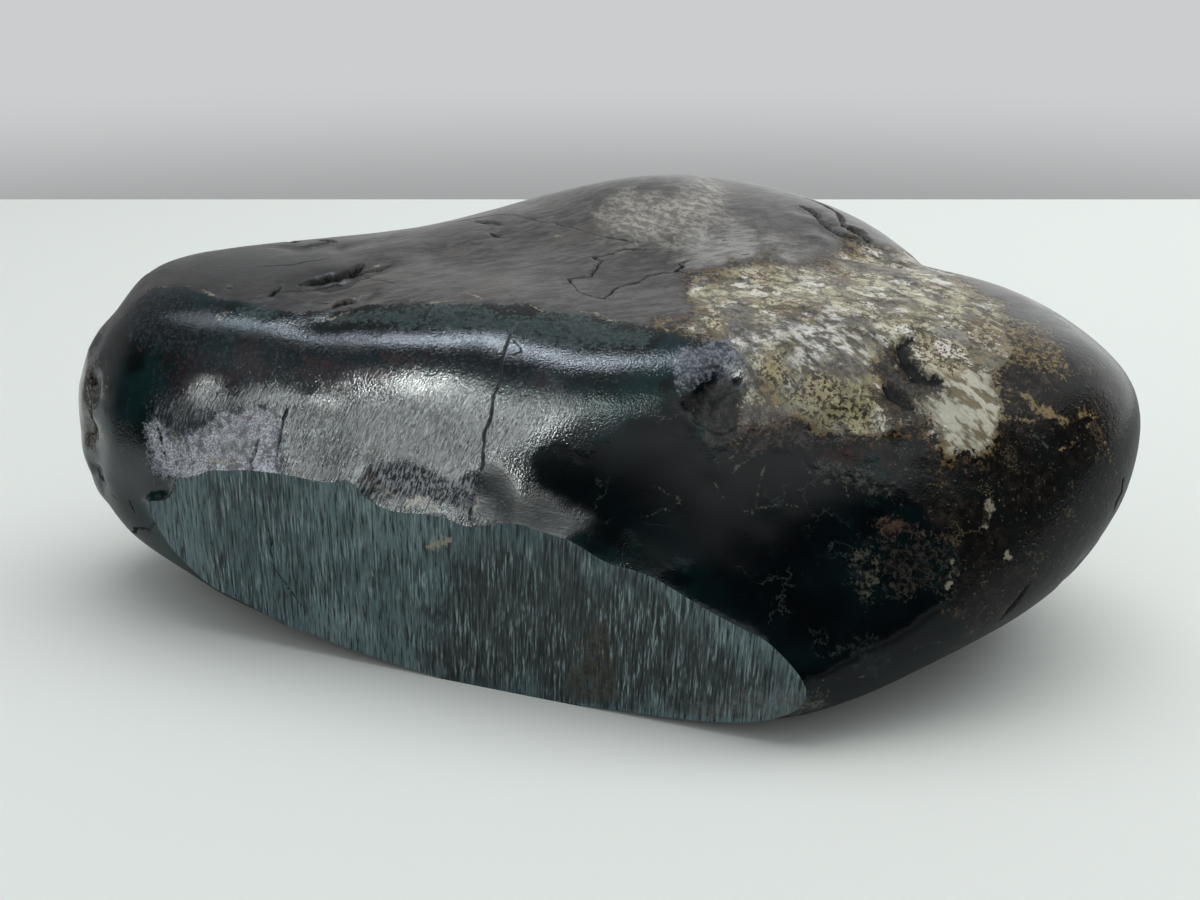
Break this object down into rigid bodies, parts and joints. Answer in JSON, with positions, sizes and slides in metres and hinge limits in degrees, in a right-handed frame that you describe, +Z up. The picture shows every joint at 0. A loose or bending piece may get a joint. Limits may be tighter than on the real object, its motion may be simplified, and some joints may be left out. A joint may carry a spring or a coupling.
{
  "type": "viewing stone",
  "caption": "Low, hand-sized viewing stone of dark green rock: ground smooth all round, a rounder hump behind, a sawn flat across its front and a pale crust at the right.",
  "frame": {"origin": "middle of the stone's outline, at the level of the flat that it rests on", "axes": "+Z up, the stone's shortest way; +X along its length, to the right as the sawn face is looked at; -Y towards the viewer of the sawn face"},
  "size_m": [0.2054, 0.1322, 0.0785],
  "materials": {
    "stone": "satin"
  },
  "bodies": {
    "root": {"stone": "stone"}
  },
  "joints": []
}
